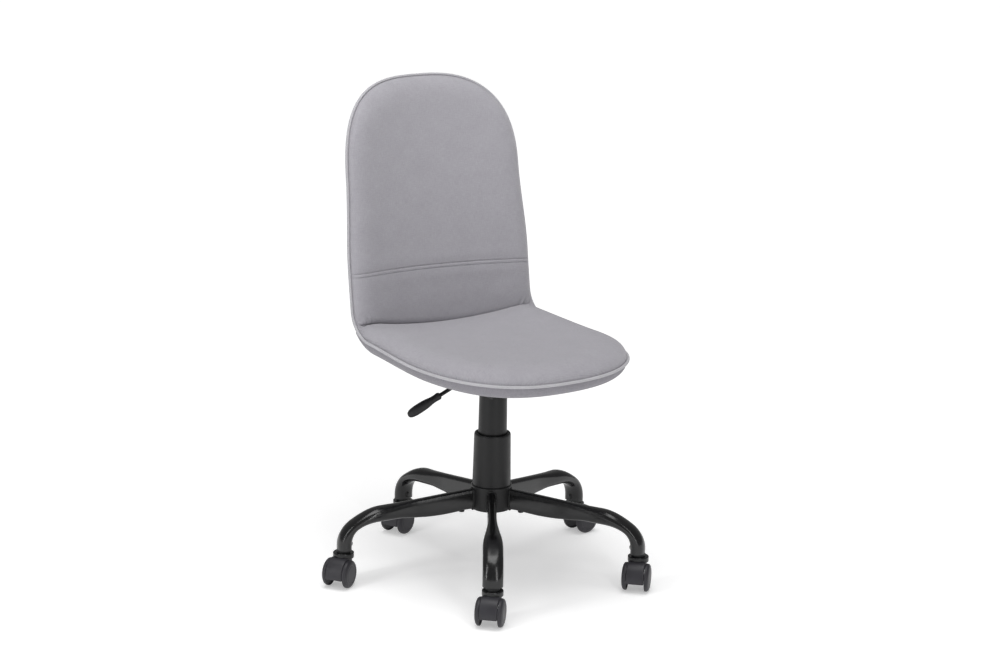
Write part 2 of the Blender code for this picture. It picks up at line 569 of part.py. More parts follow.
def build_arm(index, turn, parent):
    """One pressed steel tube arm: tall and narrow at the hub, round and wide at the castor."""
    out = Vector((math.sin(turn), -math.cos(turn), 0))
    across = Vector((math.cos(turn), math.sin(turn), 0))
    up = Vector((0, 0, 1))
    path = arm_path()
    outer, inner = [], []
    for r, z, slope in path:
        flare = float(ease((r - ARM_FLARE_R) / ARM_FLARE_RUN))
        share = min(1.0, (r - ARM_ROOT_R) / (ARM_MID_R - ARM_ROOT_R))
        thin = float(ease((slope - ARM_FALL) / (ARM_KNEE - ARM_FALL)))
        grow = float(ease((slope - ARM_KNEE) / (ARM_END_TURN - ARM_KNEE)))
        belly = ARM_BELLY * math.sin(math.pi * float(np.clip((r - ARM_BELLY_R) / ARM_BELLY_RUN, 0, 1)))
        half_wide = ARM_ROOT_HALF[0] + (ARM_END_HALF[0] - ARM_ROOT_HALF[0]) * flare
        half_tall = ARM_ROOT_HALF[1] + (ARM_MID_TALL - ARM_ROOT_HALF[1]) * share + belly
        half_tall += (ARM_KNEE_TALL - ARM_MID_TALL) * thin + (ARM_END_HALF[1] - ARM_KNEE_TALL) * grow
        normal = up * math.cos(slope) + out * math.sin(slope)
        centre = out * r + up * (z - belly)
        power = 2.6 - 0.5 * flare
        outer.append(section_ring(centre, across, normal, half_wide, half_tall, 10, power))
        inner.append(section_ring(centre, across, normal, half_wide - ARM_WALL, half_tall - ARM_WALL,
                                  10, power))
    bm = bmesh.new()
    ring_skin(bm, outer + inner[::-1], wrap=True)
    name = f"base_arm_{index}"
    add_object(name, to_mesh(name, bm), material("black_enamel", BLACK_PAINT, 0.2, 0.2), parent)


def build_base(parent):
    """The arms and the castor sockets in their ends."""
    bore = STEM_RADIUS + FIT
    plug_low, flange_top = COLLAR_TOP + FIT, ARM_END_Z - FIT
    socket = [(0, SOCKET_PLUG_TOP), (SOCKET_PLUG_RADIUS, SOCKET_PLUG_TOP), (SOCKET_PLUG_RADIUS, flange_top),
              (SOCKET_FLANGE_RADIUS, flange_top), (SOCKET_FLANGE_RADIUS, plug_low), (bore, plug_low),
              (bore, SOCKET_BORE_TOP), (0, SOCKET_BORE_TOP)]
    for index in range(ARM_COUNT):
        turn = BASE_TURN + index * 2 * math.pi / ARM_COUNT
        build_arm(index + 1, turn, parent)
        place = (STEM_CIRCLE * math.sin(turn), -STEM_CIRCLE * math.cos(turn), 0)
        lathe(f"castor_socket_{index + 1}", socket, 16, material("black_plastic", BLACK_PLASTIC, 0.5), parent,
              place=place)


# ---------------------------------------------------------------- castors
def arc(centre, radius, start, end, count):
    """Points of an arc in the castor's (x, z) plane, angles in degrees."""
    angles = np.radians(np.linspace(start, end, count))
    return [(centre[0] + radius * math.cos(a), centre[1] + radius * math.sin(a)) for a in angles]


def hood_mesh():
    """The moulded body: a curved hood, a middle web for the axle, and the stem's boss and collar."""
    axle = (TRAIL, WHEEL_RADIUS)
    shell = arc(axle, HOOD_RADIUS, HOOD_START, HOOD_END, 12)
    shell += arc(axle, HOOD_RADIUS - HOOD_WALL, HOOD_END, HOOD_START, 8)
    return to_mesh("castor_hood", prism(bmesh.new(), shell, -HOOD_HALF, HOOD_HALF))


def hood_core_mesh():
    """The web between axle and hood."""
    axle = (TRAIL, WHEEL_RADIUS)
    web = arc(axle, HOOD_RADIUS - 0.5 * HOOD_WALL, HOOD_START + 6, HOOD_END - 10, 8)
    web += [(-0.006, 0.034), (TRAIL - 0.007, 0.019)]
    return to_mesh("castor_web", prism(bmesh.new(), web, -WEB_HALF, WEB_HALF))


def hood_boss_mesh():
    """The stem's boss, a wide neck that runs between the wheels, and the round collar on it."""
    boss = [(0, COLLAR_TOP), (COLLAR_RADIUS - 0.001, COLLAR_TOP), (COLLAR_RADIUS, COLLAR_TOP - 0.001),
            (COLLAR_RADIUS, COLLAR_BOTTOM), (NECK_RADIUS, COLLAR_BOTTOM), (NECK_RADIUS, NECK_BOTTOM),
            (BOSS_RADIUS, NECK_BOTTOM - 0.004), (BOSS_RADIUS, BOSS_BOTTOM), (0, BOSS_BOTTOM)]
    return to_mesh("castor_boss", spin_profile(bmesh.new(), boss, 20))


def hood_bores_mesh():
    """Cutter: the stem's blind bore and the axle's through bore."""
    stem = STEM_RADIUS + FIT
    axle = AXLE_RADIUS + FIT
    high, low = COLLAR_TOP + 0.020, STEM_FOOT - 0.0005
    bm = spin_profile(bmesh.new(), [(0, high), (stem, high), (stem, low), (0, low)], 16)
    reach = 2 * HOOD_HALF
    spin_profile(bm, [(0, reach), (axle, reach), (axle, -reach), (0, -reach)], 12,
                 centre=(TRAIL, 0, WHEEL_RADIUS), along="Y")
    return to_mesh("castor_bores", bm)


def build_castor(index, turn, heading, parent):
    """Hood, stem, axle and two wheels on the stem's own axis; the hood trails along +X of that axis."""
    place = (STEM_CIRCLE * math.sin(turn), -STEM_CIRCLE * math.cos(turn), 0)
    axis = empty(f"castor_{index}_axis", place, heading - math.pi / 2, parent)
    plastic = material("grey_plastic", GREY_PLASTIC, 0.55)
    steel = material("zinc_steel", BRIGHT, 0.35, 1.0)
    hood = add_object(f"castor_hood_{index}", hood_mesh(), plastic, axis)
    cut(hood, hood_core_mesh(), axis, "UNION")
    cut(hood, hood_boss_mesh(), axis, "UNION")
    cut(hood, hood_bores_mesh(), axis)
    lathe(f"castor_stem_{index}", [(0, STEM_TOP), (STEM_RADIUS - 0.001, STEM_TOP),
                                   (STEM_RADIUS, STEM_TOP - 0.0015), (STEM_RADIUS, STEM_FOOT),
                                   (0, STEM_FOOT)], 16, steel, axis)
    axle_at = (TRAIL, 0, WHEEL_RADIUS)
    reach = WHEEL_OUTER - 0.0031
    lathe(f"castor_axle_{index}", [(0, reach), (AXLE_RADIUS, reach), (AXLE_RADIUS, -reach), (0, -reach)],
          12, steel, axis, place=axle_at, along="Y")
    bore, boss_low = AXLE_RADIUS + FIT, 0.0054
    blind = WHEEL_OUTER - 0.0028
    for side, label in ((1, "left"), (-1, "right")):
        profile = [(0, WHEEL_OUTER), (0.0176, WHEEL_OUTER), (0.0225, 0.0232), (WHEEL_RADIUS, 0.0198),
                   (WHEEL_RADIUS, WHEEL_INNER), (0.0075, WHEEL_INNER), (0.0075, boss_low), (bore, boss_low),
                   (bore, blind), (0, blind)]
        lathe(f"castor_wheel_{label}_{index}", [(r, side * y) for r, y in profile], 20, plastic, axis,
              place=axle_at, along="Y")


# ---------------------------------------------------------------- assembly
column = empty("column_axis", (COLUMN_X, COLUMN_Y, 0))
moving_seat = empty("seat_axis", (0, 0, 0), parent=column)
moving_rod = empty("rod_axis", (0, 0, 0), parent=column)
build_shell(moving_seat)
build_mechanism(moving_seat)
build_lever(moving_seat)
build_column(moving_seat, moving_rod, column)
build_base(column)
for number, heading_degrees in enumerate(CASTOR_HEADINGS):
    build_castor(number + 1, BASE_TURN + number * 2 * math.pi / ARM_COUNT,
                 math.radians(heading_degrees), column)
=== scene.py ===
"""Armless swivel desk chair: upholstered shell, gas-lift column, star base and castors.

Metres, +Z up, floor at z = 0.  The chair faces -Y and its lift lever points to -X.
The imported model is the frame; the pieces below are built round it, in the order of assembly.
"""
import json
import math

import bmesh
import bpy
import numpy as np
from mathutils import Matrix, Vector


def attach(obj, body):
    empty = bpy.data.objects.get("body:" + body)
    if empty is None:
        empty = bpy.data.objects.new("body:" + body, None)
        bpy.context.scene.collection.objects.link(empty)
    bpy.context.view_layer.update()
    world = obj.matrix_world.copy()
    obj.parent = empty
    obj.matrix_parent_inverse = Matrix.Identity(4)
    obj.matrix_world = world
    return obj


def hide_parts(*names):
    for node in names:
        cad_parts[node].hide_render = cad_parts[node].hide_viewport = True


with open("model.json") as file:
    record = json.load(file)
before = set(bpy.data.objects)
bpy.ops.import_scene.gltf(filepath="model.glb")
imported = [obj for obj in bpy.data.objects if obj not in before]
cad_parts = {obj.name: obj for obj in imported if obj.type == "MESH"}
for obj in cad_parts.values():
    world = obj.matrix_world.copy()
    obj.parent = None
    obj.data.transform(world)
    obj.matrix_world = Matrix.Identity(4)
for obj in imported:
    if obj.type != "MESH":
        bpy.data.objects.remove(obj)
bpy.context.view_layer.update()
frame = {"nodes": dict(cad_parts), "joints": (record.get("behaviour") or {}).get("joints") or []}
joints = {joint["name"]: joint for joint in frame["joints"]}
column = np.array(joints["column_swivel"]["pos_m"]) * (1.0, 1.0, 0.0)


# ---------------------------------------------------------------- camera
# A 94 mm lens on a stand 4.5 m off and 1.57 m up, 35 degrees round to the lever's side. It is tipped
# 14 degrees down at the seat, and leans about 1 degree.
camera_away, camera_height = 4.5, 1.569
camera_round, camera_down, camera_right, camera_roll = np.radians([-35.0, 14.07, 0.124, 1.185])
camera = bpy.data.objects.new("camera", bpy.data.cameras.new("camera"))
bpy.context.scene.collection.objects.link(camera)
camera.data.lens, camera.data.sensor_width = 94.19, 36.0
camera.data.clip_end = 100.0
camera.matrix_world = (Matrix.Translation(Vector(column) + Vector((
    camera_away * math.sin(camera_round), -camera_away * math.cos(camera_round), camera_height)))
    @ Matrix.Rotation(camera_round - camera_right, 4, "Z")
    @ Matrix.Rotation(math.pi / 2 - camera_down, 4, "X")
    @ Matrix.Rotation(camera_roll, 4, "Z"))
bpy.context.scene.camera = camera


# ---------------------------------------------------------------- studio
# A floor of seamless white paper, lit by one overhead softbox and by a tall narrow softbox at each
# side, whose long reflections draw out the black tubes.
def linear(code):
    """sRGB hex to linear light: c/12.92 up to 0.04045, and ((c + 0.055)/1.055)^2.4 above it."""
    c = np.array([int(code[i:i + 2], 16) for i in (1, 3, 5)]) / 255
    c = np.where(c <= 0.04045, c / 12.92, ((c + 0.055) / 1.055) ** 2.4)
    return (*c.tolist(), 1.0)


def node(tree, kind, inputs=(), **properties):
    """Add a shader node; inputs maps a socket to its value, or to the output that feeds it."""
    made = tree.nodes.new("ShaderNode" + kind)
    for name, value in properties.items():
        setattr(made, name, value)
    for name, value in dict(inputs).items():
        if isinstance(value, bpy.types.NodeSocket):
            tree.links.new(value, made.inputs[name])
        else:
            made.inputs[name].default_value = value
    return made


def blank(name):
    """A new material and its empty node tree."""
    made = bpy.data.materials.new(name)
    made.use_nodes = True
    made.node_tree.nodes.clear()
    return made, made.node_tree


# Matt white paper. A ring of low lamps behind lights the far sweep, which is given as a glow that
# grows from 0.34 near the chair to 0.8 at 3 m from it.
paper, tree = blank("white_paper_sweep")
grain = node(tree, "TexNoise", {"Vector": node(tree, "TexCoord").outputs["Object"], "Scale": 60.0})
tone = node(tree, "MixRGB", {"Fac": grain.outputs[0], "Color1": linear("#F1F1F1"),
                             "Color2": linear("#F5F5F5")})
away = node(tree, "VectorMath", {0: node(tree, "TexCoord").outputs["Object"]}, operation="LENGTH")
glow = node(tree, "MapRange", {"Value": away.outputs["Value"], "From Min": 0.6, "From Max": 3.0,
                               "To Min": 0.34, "To Max": 0.8})
skin = node(tree, "BsdfPrincipled", {
    "Base Color": tone.outputs[0], "Roughness": 0.9, "Specular IOR Level": 0.2,
    "Emission Color": linear("#FFFFFF"), "Emission Strength": glow.outputs[0]})
node(tree, "OutputMaterial", {"Surface": skin.outputs[0]})
sweep = bpy.data.meshes.new("paper_sweep")
sweep_half = 30.0
sweep_corners = [(sweep_half * x, sweep_half * y, 0.0) for x, y in ((-1, -1), (1, -1), (1, 1), (-1, 1))]
sweep.from_pydata(sweep_corners, [], [(0, 1, 2, 3)])
sweep.materials.append(paper)
floor = bpy.data.objects.new("paper_sweep", sweep)
bpy.context.scene.collection.objects.link(floor)

aim = Vector((column[0], column[1], 0.45))          # the middle of the chair
for label, place, size, power in (("overhead", (-0.2, -0.15, 3.0), (2.2, 2.2), 60.0),
                                  ("left_strip", (-2.38, -0.30, 1.15), (0.16, 2.2), 15.0),
                                  ("right_strip", (-0.42, -2.36, 1.15), (0.16, 2.2), 13.0)):
    lamp = bpy.data.objects.new(label, bpy.data.lights.new(label, "AREA"))
    lamp.data.shape, lamp.data.size, lamp.data.size_y, lamp.data.energy = "RECTANGLE", *size, power
    lamp.location = place
    lamp.rotation_euler = (aim - lamp.location).to_track_quat("-Z", "Y").to_euler()
    bpy.context.scene.collection.objects.link(lamp)
world = bpy.data.worlds.new("studio_room")
world.use_nodes = True
world.node_tree.nodes["Background"].inputs["Color"].default_value = linear("#FFFFFF")
world.node_tree.nodes["Background"].inputs["Strength"].default_value = 0.25
bpy.context.scene.world = world
bpy.context.scene.view_settings.view_transform = "Standard"


# ---------------------------------------------------------------- bent plywood shell
# One board of pressed birch plywood, bent into seat, bend and reclined back. Everything soft is glued
# and stapled over it. It is covered all over, so it stays as the CAD node with a plywood finish.
seat_front_y, seat_front_z = -0.230, 0.404
seat_run, bend_radius, back_run = 0.345, 0.078, 0.409
seat_fall, recline = np.radians([0.5, 10.4])
bend_turn = math.pi / 2 - recline + seat_fall
shell_run = seat_run + bend_radius * bend_turn + back_run
half_width, waist_loss, top_loss = 0.200, 0.007, 0.009
nose_run, crown_run = 0.190, 0.193
nose_power, crown_power = 2.7, 2.75
seat_cup, bend_cup, back_cup = 0.012, 0.014, 0.017
crease = 0.405                       # distance along the shell from the nose to the fold between the cushions


def ease(x):
    """Smooth step: 3x^2 - 2x^3 between 0 and 1."""
    x = np.clip(x, 0.0, 1.0)
    return x * x * (3 - 2 * x)


def half_outline(s, inset):
    """Half the shell's width at s along it, drawn in by inset: the full half width, less the waist's
    loss from 0.17 to 0.40 m and the top's loss from 0.53 to 0.69 m, closed by a superellipse at each end."""
    half = half_width - waist_loss * ease((s - 0.17) / 0.23) - top_loss * ease((s - 0.53) / 0.16)
    nose = 1 - np.clip((s - inset) / (nose_run - inset), 0, 1)
    crown = 1 - np.clip((shell_run - inset - s) / (crown_run - inset), 0, 1)
    front = (1 - nose ** nose_power) ** (1 / nose_power)
    return (half - inset) * front * (1 - crown ** crown_power) ** (1 / crown_power)


def on_shell(s, u, n):
    """The point s along the shell, u across it and n out of it: a straight, an arc and a straight in
    the Y-Z plane. It is cupped by c(s)*(u/half_width)^2, so that the sides rise towards the sitter: c is
    12 mm at the nose, 14 mm more by the bend and 17 mm more up the back."""
    turn = np.clip((s - seat_run) / bend_radius, 0, bend_turn) - seat_fall
    flat, up = np.minimum(s, seat_run), np.maximum(s - seat_run - bend_radius * bend_turn, 0)
    lean = bend_turn - seat_fall
    y = seat_front_y + flat * math.cos(seat_fall) + up * math.cos(lean)
    y = y + bend_radius * (np.sin(turn) + math.sin(seat_fall))
    z = seat_front_z - flat * math.sin(seat_fall) + up * math.sin(lean)
    z = z + bend_radius * (math.cos(seat_fall) - np.cos(turn))
    cup = seat_cup + bend_cup * ease((s - 0.17) / 0.24) + back_cup * ease((s - 0.40) / 0.40)
    out = n + cup * (u / half_width) ** 2
    return np.stack([column[0] + u + 0 * s, column[1] + y - np.sin(turn) * out, z + np.cos(turn) * out], -1)


def speckled(name, dark, light, grain, rough, bump, **shader_values):
    """A solid finish: two close colours and two roughnesses mixed by noise of the given grain (metres),
    which also raises the surface by bump metres. Everything else is a constant on the shader."""
    made, tree = blank(name)
    place = node(tree, "TexCoord").outputs["Object"]
    fine = node(tree, "TexNoise", {"Vector": place, "Scale": 1 / grain, "Detail": 3.0})
    broad = node(tree, "TexNoise", {"Vector": place, "Scale": 0.05 / grain, "Detail": 2.0})
    mixed = node(tree, "Math", {0: fine.outputs[0], 1: broad.outputs[0]}, operation="ADD")
    share = node(tree, "MapRange", {"Value": mixed.outputs[0], "From Min": 0.7, "From Max": 1.3})
    tint = node(tree, "MixRGB", {"Fac": share.outputs[0], "Color1": linear(dark), "Color2": linear(light)})
    gloss = node(tree, "MapRange", {"Value": share.outputs[0], "To Min": rough[0], "To Max": rough[1]})
    raised = node(tree, "Bump", {"Height": fine.outputs[0], "Distance": bump, "Strength": 0.6})
    values = {key.replace("_", " "): value for key, value in shader_values.items()}
    shader = node(tree, "BsdfPrincipled", {"Base Color": tint.outputs[0], "Roughness": gloss.outputs[0],
                                           "Normal": raised.outputs[0], **values})
    node(tree, "OutputMaterial", {"Surface": shader.outputs[0]})
    return made


def dress(material, slot, *names):
    """Give CAD nodes that stay in view their finish."""
    for name in names:
        frame["nodes"][name].data.materials.clear()
        frame["nodes"][name].data.materials.append(material)


# Rotary-cut birch ply, sanded: pale, with a long fine grain.
dress(speckled("birch_plywood", "#A98A5F", "#BF9F72", 0.004, (0.55, 0.7), 0.0002), "plywood", "shell_board")


# ---------------------------------------------------------------- seat and back cushions
# Two foam pads under one sewn cover of woven grey polyester, glued to the board and pulled down
# hard round its rim. A welt seam and a row of topstitching cross the back above the lumbar panel.
def woven(name, dark, light, thread, depth):
    """Plain weave: a hump for each thread, warp over weft by turns as on a chequerboard, on the cloth's
    own UV map in metres. Slubs are noise drawn out along each thread; both tint it and rough it up.
    A wave texture repeats every 0.314/scale, so its scale is 0.314/thread."""
    made, tree = blank(name)
    cloth = node(tree, "TexCoord").outputs["UV"]
    humps = {"Vector": cloth, "Scale": 0.314 / thread, "Distortion": 0.6}
    warp = node(tree, "TexWave", humps, bands_direction="X")
    weft = node(tree, "TexWave", humps, bands_direction="Y")
    over = node(tree, "TexChecker", {"Vector": cloth, "Scale": 1 / thread})
    height = node(tree, "MixRGB", {"Fac": over.outputs[1], "Color1": warp.outputs[0],
                                   "Color2": weft.outputs[0]})
    slubs = []
    for stretch in ((900.0, 90.0, 1.0), (90.0, 900.0, 1.0)):
        drawn = node(tree, "Mapping", {"Vector": cloth, "Scale": stretch})
        slubs.append(node(tree, "TexNoise", {"Vector": drawn.outputs[0], "Scale": 1.0}).outputs[0])
    slub = node(tree, "Math", {0: slubs[0], 1: slubs[1]}, operation="ADD")
    patch = node(tree, "TexNoise", {"Vector": cloth, "Scale": 28.0, "Detail": 3.0})
    faint = node(tree, "Math", {0: patch.outputs[0], 1: 0.35}, operation="MULTIPLY")
    both = node(tree, "Math", {0: slub.outputs[0], 1: 0.75, 2: faint.outputs[0]}, operation="MULTIPLY_ADD")
    share = node(tree, "MapRange", {"Value": both.outputs[0], "From Min": 0.6, "From Max": 1.25})
    # Painted shade and highlight: the colour is darkened to 0.86 in the hollows between the thread humps and
    # lifted to 1.04 on their tops.
    deep = node(tree, "MapRange", {"Value": height.outputs[0], "To Min": 0.86, "To Max": 1.04})
    tint = node(tree, "MixRGB", {"Fac": share.outputs[0], "Color1": linear(dark), "Color2": linear(light)})
    shaded = node(tree, "HueSaturation", {"Value": deep.outputs[0], "Color": tint.outputs[0]})
    gloss = node(tree, "MapRange", {"Value": share.outputs[0], "To Min": 0.82, "To Max": 0.95})
    raised = node(tree, "Bump", {"Height": height.outputs[0], "Distance": depth, "Strength": 0.7})
    shader = node(tree, "BsdfPrincipled", {
        "Base Color": shaded.outputs[0], "Roughness": gloss.outputs[0], "Normal": raised.outputs[0],
        "IOR": 1.5, "Specular IOR Level": 0.25, "Sheen Weight": 0.22, "Sheen Roughness": 0.45})
    node(tree, "OutputMaterial", {"Surface": shader.outputs[0]})
    return made


def build(name, *grids, uv=None):
    """One mesh from grids of points [row, column, xyz]: quads between neighbours, the last column
    joined to the first. Points that coincide are merged and the faces turned outwards. A UV map goes
    with a single grid, and has one column more than the grid, for the far side of its seam."""
    points, quads, start = [], [], 0
    for grid in grids:
        rows, columns = grid.shape[:2]
        i, j = np.meshgrid(np.arange(rows - 1), np.arange(columns), indexing="ij")
        k = (j + 1) % columns
        corners = [i * columns + j, i * columns + k, (i + 1) * columns + k, (i + 1) * columns + j]
        quads.append(np.stack(corners, -1).reshape(-1, 4) + start)
        points.append(grid.reshape(-1, 3))
        start += rows * columns
    mesh = bpy.data.meshes.new(name)
    mesh.from_pydata(np.concatenate(points), [], np.concatenate(quads))
    if uv is not None:
        wide = uv.shape[1]
        flat = np.stack([i * wide + j, i * wide + j + 1, (i + 1) * wide + j + 1, (i + 1) * wide + j], -1)
        mesh.uv_layers.new(name="cloth").data.foreach_set("uv", uv.reshape(-1, 2)[flat.ravel()].ravel())
    work = bmesh.new()
    work.from_mesh(mesh)
    bmesh.ops.remove_doubles(work, verts=work.verts, dist=2e-6)
    bmesh.ops.recalc_face_normals(work, faces=work.faces)
    work.to_mesh(mesh)
    work.free()
    mesh.shade_smooth()
    mesh.set_sharp_from_angle(angle=math.radians(38))
    return mesh


def fit(name, mesh, body, material, slot, *stands_for):
    """Put a finished mesh on its body, with its finish, in place of the CAD nodes it stands for."""
    piece = bpy.data.objects.new(name, mesh)
    bpy.context.scene.collection.objects.link(piece)
    mesh.materials.append(material)
    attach(piece, body)
    if stands_for:
        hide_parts(*stands_for)
    return piece


def from_rim(s, u, inset):
    """Shortest distance on the flattened shell from each (s, u) to the outline, which is taken as 400
    straight pieces: the nearest point of each piece is its clamped projection."""
    run = inset + (shell_run - 2 * inset) * (0.5 - 0.5 * np.cos(np.linspace(0, math.pi, 401)))
    line = np.stack([run, half_outline(run, inset)], -1)
    a, d = line[:-1], np.diff(line, axis=0)
    p = np.stack([s, np.abs(u)], -1).reshape(-1, 1, 2)
    along = np.clip(((p - a) * d).sum(-1) / (d * d).sum(-1), 0, 1)
    gap = np.linalg.norm(p - a - along[..., None] * d, axis=-1)
    return gap.min(axis=1).reshape(s.shape)


def swell(distance, edge):
    """Foam pulled down at its rim: 0 there, steep, then level at 1 from edge inwards, on a
    superellipse of power 2.2."""
    return (1 - (1 - np.clip(distance / edge, 0, 1)) ** 2.2) ** (1 / 2.2)


def pad_grid(s_rows, columns, inset, bow=None):
    """(s, u) over one face of a pad: rows along the shell, bowed by bow(s, u) if given, and columns
    crowded towards both edges by a sine."""
    across = np.sin(np.linspace(-math.pi / 2, math.pi / 2, columns))
    s = s_rows[:, None] + 0 * across
    if bow is not None:
        s = s + bow(s, half_outline(s, inset) * across)
    return s, half_outline(s, inset) * across


def pad(name, s, u, front, rear):
    """A closed pad: its front face at height front(s, u) and its rear face at rear, joined round the
    rim, where both heights meet. Its UV map is (u, s) in metres."""
    top, low = on_shell(s, u, front), on_shell(s[:, ::-1], u[:, ::-1], rear[:, ::-1])
    ring = np.concatenate([top, low], axis=1)
    ends = [0.5 * (top[i] + low[i, ::-1])[None] for i in (0, -1)]
    shut = [np.concatenate([end, end[:, ::-1]], axis=1) for end in ends]
    both = [np.concatenate([f, f[:, ::-1], f[:, :1]], axis=1) for f in (u, s)]
    uv = np.stack([np.concatenate([f[:1], f, f[-1:]]) for f in both], -1)
    return build(name, np.concatenate([shut[0], ring, shut[1]]), uv=uv)


def foam_height(rim, crown, edge):
    """Foam under the cover, by its distance from the rim: 0.6 mm at the rim, then crown more once edge
    in from it. It starts to swell 0.8 mm in, where the stitches are."""
    return 0.0006 + crown * swell(np.maximum(rim - 0.0008, 0), edge)


def inner_face(rim, outer):
    """How far a pad's inner face stands off the board: 0.8 mm at the rim and 5.3 mm from 10 mm in, and
    always 0.1 mm inside the outer face."""
    return np.minimum(0.0008 + 0.0045 * ease(rim / 0.010), outer - 0.0001)


# Mid-grey melange polyester, plain weave of about 0.6 mm threads, drawn at 1.3 mm so that it shows.
# Seen close it is a fine chequer of thread humps, painted darker in the hollows between them as shade; from
# further off it is a soft matt grey with faint slubs.
upholstery = woven("grey_polyester_weave", "#97959B", "#A9A7AD", 0.0013, 0.00022)

edge_inset = 0.0016
tip = edge_inset + 0.0004            # where the first and last rows lie along the shell
ramp = np.linspace(0, 1, 60) ** 1.7  # rows crowded towards the tip
pad_columns = 121
fold_skew = -0.042                   # the fold runs a little askew: metres along the shell per metre across
least_foam = 0.0064                  # no cloth is pulled closer to the board than this, away from the rim
seat_crown, seat_edge = 0.0307, 0.052
back_crown, back_edge = 0.0247, 0.048


def fold_bow(s, u):
    """How far the rows shift to lie along the skewed fold, fading out 60 mm before and 75 mm behind it."""
    before, behind = ease((s - crease + 0.060) / 0.060), 1 - ease((s - crease) / 0.075)
    return fold_skew * u * np.where(s < crease, before, behind)


def level_foam(u, height, turn_left):
    """Foam cut with a flat top. Inside the bend, whose radius R is less the cup there, a flat top at the
    given height stands n = R - (R - height)/cos(turn_left) off the board, where turn_left is the bend's
    turn from the flat part to here. A smooth maximum keeps n above 0.3 of the height."""
    radius = bend_radius - (seat_cup + bend_cup) * (u / half_width) ** 2
    flat = radius - (radius - height) / np.cos(np.clip(turn_left, 0, 1.2))
    least = 0.3 * height
    return np.where(turn_left > 0, 0.5 * (flat + least + np.sqrt((flat - least) ** 2 + 0.002 ** 2)), height)


def fold_groove(to_fold, u, wander):
    """The cloth dips 4 mm into the fold within about 3 mm of it. The dip ends 10 mm short of the sides,
    where the cloth breaks into three small wrinkles 12 mm apart."""
    dip = 0.0042 * np.exp(-to_fold / 0.0028) * ease((0.186 - np.abs(u)) / 0.012)
    corner = np.exp(-((np.abs(u) - 0.170) / 0.014) ** 2) * np.exp(-((to_fold - 0.009) / 0.011) ** 2)
    return dip + 0.0015 * corner * np.cos(2 * math.pi * (np.abs(u) - 0.168 + wander * to_fold) / 0.012)


# The seat pad: rows closest together at the nose and next to the fold.
seat_rows = np.concatenate([tip + (nose_run - tip) * ramp, np.linspace(nose_run, 0.340, 50)[1:],
                            np.linspace(0.340, 0.395, 26)[1:], np.linspace(0.395, crease - 0.0004, 16)[1:]])
s, u = pad_grid(seat_rows, pad_columns, edge_inset, fold_bow)
rim = from_rim(s, u, edge_inset)
to_fold = (crease - seat_rows)[:, None] + 0 * u
foam = foam_height(rim, seat_crown, seat_edge)
height = level_foam(u, foam, (s - seat_run) / bend_radius) - fold_groove(to_fold, u, 0.5)
height = np.maximum(height, np.minimum(foam, least_foam))
fit("seat_pad", pad("seat_pad", s, u, height, inner_face(rim, height)),
              "seat", upholstery, "fabric", "seat_cushion")

# The back pad's rows follow the welt seam, which arches up to the middle and sags to one side.
seam_at, stitch_below, stitch_pitch = 0.5185, 0.0066, 0.0042


def seam_bow(s, u):
    """How far the rows bend to lie along the seam, -0.0276*u - 0.1316*u^2, fading to nothing 70 mm
    either side of it, and along the fold below it."""
    return (-0.0276 * u - 0.1316 * u ** 2) * (1 - ease(np.abs(s - seam_at) / 0.070)) + fold_bow(s, u)


# Rows closest together next to the fold, over the seam and at the crown.
back_rows = np.concatenate([np.linspace(crease + 0.0004, 0.415, 16), np.linspace(0.415, 0.462, 26)[1:],
                            np.linspace(0.462, 0.506, 20)[1:], np.linspace(0.506, 0.524, 40)[1:],
                            np.linspace(0.524, shell_run - crown_run, 48)[1:],
                            shell_run - tip - (crown_run - tip) * ramp[-2::-1]])
s, u = pad_grid(back_rows, pad_columns, edge_inset, seam_bow)
rim = from_rim(s, u, edge_inset)
from_fold = (back_rows - crease)[:, None] + 0 * u
foam = foam_height(rim, back_crown, back_edge)
height = level_foam(u, foam, bend_turn - (s - seat_run) / bend_radius) - fold_groove(from_fold, u, -0.4)
off_seam = (back_rows - seam_at)[:, None] + 0 * u
# The seam sinks 1.6 mm and its turned-in edges raise a ridge below it. The topstitching pulls that down
# at each stitch, and the foam puffs up 1 mm on both sides of the two.
height = height - 0.0016 * np.exp(-(off_seam / 0.0011) ** 2)
height = height + 0.0005 * np.exp(-((off_seam + 0.0033) / 0.0022) ** 2)
pull = 0.0007 + 0.0003 * np.cos(2 * math.pi * u / stitch_pitch)
height = height - pull * np.exp(-((off_seam + stitch_below) / 0.0008) ** 2)
height = height + 0.0010 * np.exp(-((np.abs(off_seam + 0.003) - 0.016) / 0.012) ** 2) * ease(rim / 0.030)
height = np.maximum(height, np.minimum(foam, least_foam))
fit("back_pad", pad("back_pad", s, u, height, inner_face(rim, height)),
              "seat", upholstery, "fabric", "back_cushion")


# ---------------------------------------------------------------- lumbar topstitching
# One row of lockstitch in grey bonded polyester thread, 6.6 mm below the seam. Each stitch is 3.2 mm
# long, with 1 mm between it and the next, and both its ends dip into the cloth.
def carried(path, across, normal, wide, tall, power=2.0, count=24):
    """A closed profile carried along a path: at each station the superellipse
    (|x|/wide)^power + (|y|/tall)^power = 1, on the directions across and normal."""
    angle = np.linspace(0, 2 * math.pi, count, endpoint=False)
    c, q = np.cos(angle), np.sin(angle)
    power = np.broadcast_to(power, (len(path),))[:, None]
    x = np.sign(c) * np.abs(c) ** (2 / power) * np.broadcast_to(wide, (len(path),))[:, None]
    y = np.sign(q) * np.abs(q) ** (2 / power) * np.broadcast_to(tall, (len(path),))[:, None]
    across, normal = np.broadcast_to(across, path.shape), np.broadcast_to(normal, path.shape)
    return path[:, None] + x[..., None] * across[:, None] + y[..., None] * normal[:, None]


def capped(rings):
    """Rings with both ends drawn to a point at their centres, which closes the tube."""
    middle = rings.mean(axis=1, keepdims=True) + 0 * rings
    return np.concatenate([middle[:1], rings, middle[-1:]])


